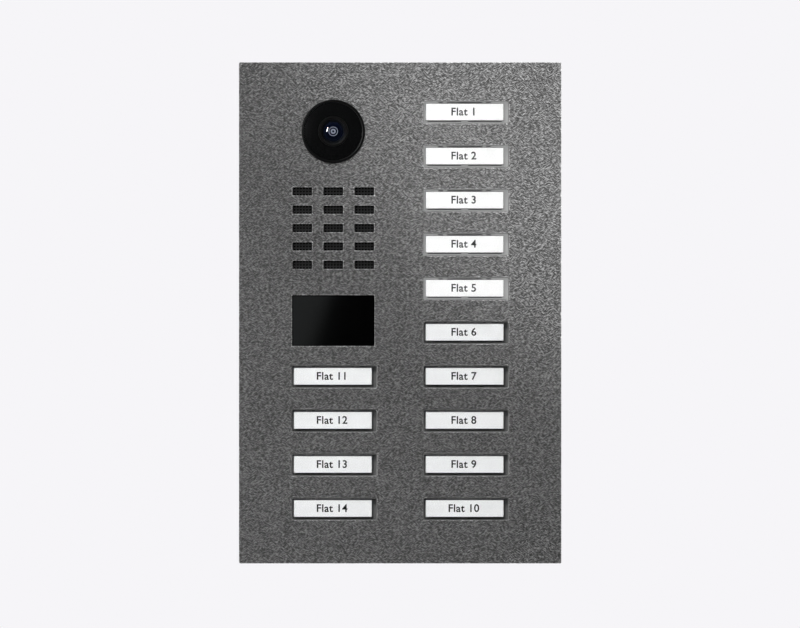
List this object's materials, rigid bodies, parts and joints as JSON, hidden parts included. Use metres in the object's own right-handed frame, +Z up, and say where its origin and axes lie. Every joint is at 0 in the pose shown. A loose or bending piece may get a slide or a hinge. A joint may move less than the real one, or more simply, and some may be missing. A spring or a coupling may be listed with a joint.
{
  "type": "door intercom panel",
  "caption": "Surface-mounted video door station with camera, speaker grille, sensor window and two columns of backlit call buttons that press in.",
  "frame": {"origin": "middle of the four wall screw holes, on the wall plane behind the station", "axes": "+Z up, +Y into the wall, so the front panel faces -Y, and +X to the right when facing the station"},
  "size_m": [0.23, 0.049, 0.3574],
  "materials": {
    "coated_steel": "fine wrinkled grey powder coat",
    "seal_rubber": "closed-cell foam, matte",
    "zinc_steel": "zinc plated",
    "stainless_steel": "turned stainless steel",
    "black_plastic": "polished black",
    "smoked_plastic": "dark infrared-clear plastic, polished",
    "black_aluminium": "black anodised",
    "coated_glass": "coated optical glass",
    "circuit_board": "green solder mask on glass laminate",
    "moulded_plastic": "fine spark texture",
    "black_mesh": "black perforated sheet",
    "pressed_steel": "zinc plated pressing",
    "cone_paper": "black felted paper",
    "sensor_can": "nickel plated can",
    "switch_plastic": "moulded black",
    "green_plastic": "moulded green",
    "jack_shell": "tinned shell",
    "ribbon_grey": "flat grey cable",
    "red_plastic": "moulded red",
    "clear_plastic": "clear moulded polycarbonate",
    "light_guide": "white light guide",
    "lit_light_guide": "white light guide, lit from behind"
  },
  "bodies": {
    "station": {"front_panel": "coated_steel", "mounting_frame": "coated_steel", "frame_gasket": "seal_rubber", "weld_studs": "zinc_steel", "stud_nuts": "zinc_steel", "panel_brackets": "zinc_steel", "locking_screws": "stainless_steel", "camera_bezel": "black_plastic", "camera_window": "smoked_plastic", "lens_barrel": "black_aluminium", "front_lens": "coated_glass", "camera_board": "circuit_board", "camera_housing": "moulded_plastic", "grille_mesh": "black_mesh", "speaker_basket": "pressed_steel", "speaker_cone": "cone_paper", "speaker_magnet": "zinc_steel", "microphone": "black_aluminium", "sensor_window": "smoked_plastic", "motion_sensor": "sensor_can", "reader_board": "circuit_board", "button_housings": "moulded_plastic", "left_button_board": "circuit_board", "right_button_board": "circuit_board", "call_switches": "switch_plastic", "main_board": "circuit_board", "terminal_blocks": "green_plastic", "network_jack": "jack_shell", "electronics_cover": "moulded_plastic", "ribbon_cables": "ribbon_grey", "tamper_switch": "switch_plastic"},
    "call_button_01": {"button_cap_01": "clear_plastic", "button_tray_01": "lit_light_guide"},
    "call_button_02": {"button_cap_02": "clear_plastic", "button_tray_02": "lit_light_guide"},
    "call_button_03": {"button_cap_03": "clear_plastic", "button_tray_03": "lit_light_guide"},
    "call_button_04": {"button_cap_04": "clear_plastic", "button_tray_04": "lit_light_guide"},
    "call_button_05": {"button_cap_05": "clear_plastic", "button_tray_05": "lit_light_guide"},
    "call_button_06": {"button_cap_06": "clear_plastic", "button_tray_06": "light_guide"},
    "call_button_07": {"button_cap_07": "clear_plastic", "button_tray_07": "light_guide"},
    "call_button_08": {"button_cap_08": "clear_plastic", "button_tray_08": "light_guide"},
    "call_button_09": {"button_cap_09": "clear_plastic", "button_tray_09": "light_guide"},
    "call_button_10": {"button_cap_10": "clear_plastic", "button_tray_10": "light_guide"},
    "call_button_11": {"button_cap_11": "clear_plastic", "button_tray_11": "light_guide"},
    "call_button_12": {"button_cap_12": "clear_plastic", "button_tray_12": "light_guide"},
    "call_button_13": {"button_cap_13": "clear_plastic", "button_tray_13": "light_guide"},
    "call_button_14": {"button_cap_14": "clear_plastic", "button_tray_14": "light_guide"},
    "tamper_plunger": {"tamper_plunger": "red_plastic"}
  },
  "joints": [
    {"name": "call_button_01_press", "type": "slide", "parent": "station", "child": "call_button_01", "axis": [0, 1, 0], "range_m": [0, 0.0012], "stiffness_N_per_m": 300, "springref_m": -0.001},
    {"name": "call_button_02_press", "type": "slide", "parent": "station", "child": "call_button_02", "axis": [0, 1, 0], "range_m": [0, 0.0012], "stiffness_N_per_m": 300, "springref_m": -0.001},
    {"name": "call_button_03_press", "type": "slide", "parent": "station", "child": "call_button_03", "axis": [0, 1, 0], "range_m": [0, 0.0012], "stiffness_N_per_m": 300, "springref_m": -0.001},
    {"name": "call_button_04_press", "type": "slide", "parent": "station", "child": "call_button_04", "axis": [0, 1, 0], "range_m": [0, 0.0012], "stiffness_N_per_m": 300, "springref_m": -0.001},
    {"name": "call_button_05_press", "type": "slide", "parent": "station", "child": "call_button_05", "axis": [0, 1, 0], "range_m": [0, 0.0012], "stiffness_N_per_m": 300, "springref_m": -0.001},
    {"name": "call_button_06_press", "type": "slide", "parent": "station", "child": "call_button_06", "axis": [0, 1, 0], "range_m": [0, 0.0012], "stiffness_N_per_m": 300, "springref_m": -0.001},
    {"name": "call_button_07_press", "type": "slide", "parent": "station", "child": "call_button_07", "axis": [0, 1, 0], "range_m": [0, 0.0012], "stiffness_N_per_m": 300, "springref_m": -0.001},
    {"name": "call_button_08_press", "type": "slide", "parent": "station", "child": "call_button_08", "axis": [0, 1, 0], "range_m": [0, 0.0012], "stiffness_N_per_m": 300, "springref_m": -0.001},
    {"name": "call_button_09_press", "type": "slide", "parent": "station", "child": "call_button_09", "axis": [0, 1, 0], "range_m": [0, 0.0012], "stiffness_N_per_m": 300, "springref_m": -0.001},
    {"name": "call_button_10_press", "type": "slide", "parent": "station", "child": "call_button_10", "axis": [0, 1, 0], "range_m": [0, 0.0012], "stiffness_N_per_m": 300, "springref_m": -0.001},
    {"name": "call_button_11_press", "type": "slide", "parent": "station", "child": "call_button_11", "axis": [0, 1, 0], "range_m": [0, 0.0012], "stiffness_N_per_m": 300, "springref_m": -0.001},
    {"name": "call_button_12_press", "type": "slide", "parent": "station", "child": "call_button_12", "axis": [0, 1, 0], "range_m": [0, 0.0012], "stiffness_N_per_m": 300, "springref_m": -0.001},
    {"name": "call_button_13_press", "type": "slide", "parent": "station", "child": "call_button_13", "axis": [0, 1, 0], "range_m": [0, 0.0012], "stiffness_N_per_m": 300, "springref_m": -0.001},
    {"name": "call_button_14_press", "type": "slide", "parent": "station", "child": "call_button_14", "axis": [0, 1, 0], "range_m": [0, 0.0012], "stiffness_N_per_m": 300, "springref_m": -0.001},
    {"name": "tamper_plunger_release", "type": "slide", "parent": "station", "child": "tamper_plunger", "axis": [0, 1, 0], "range_m": [0, 0.002], "stiffness_N_per_m": 120, "springref_m": 0.003}
  ]
}
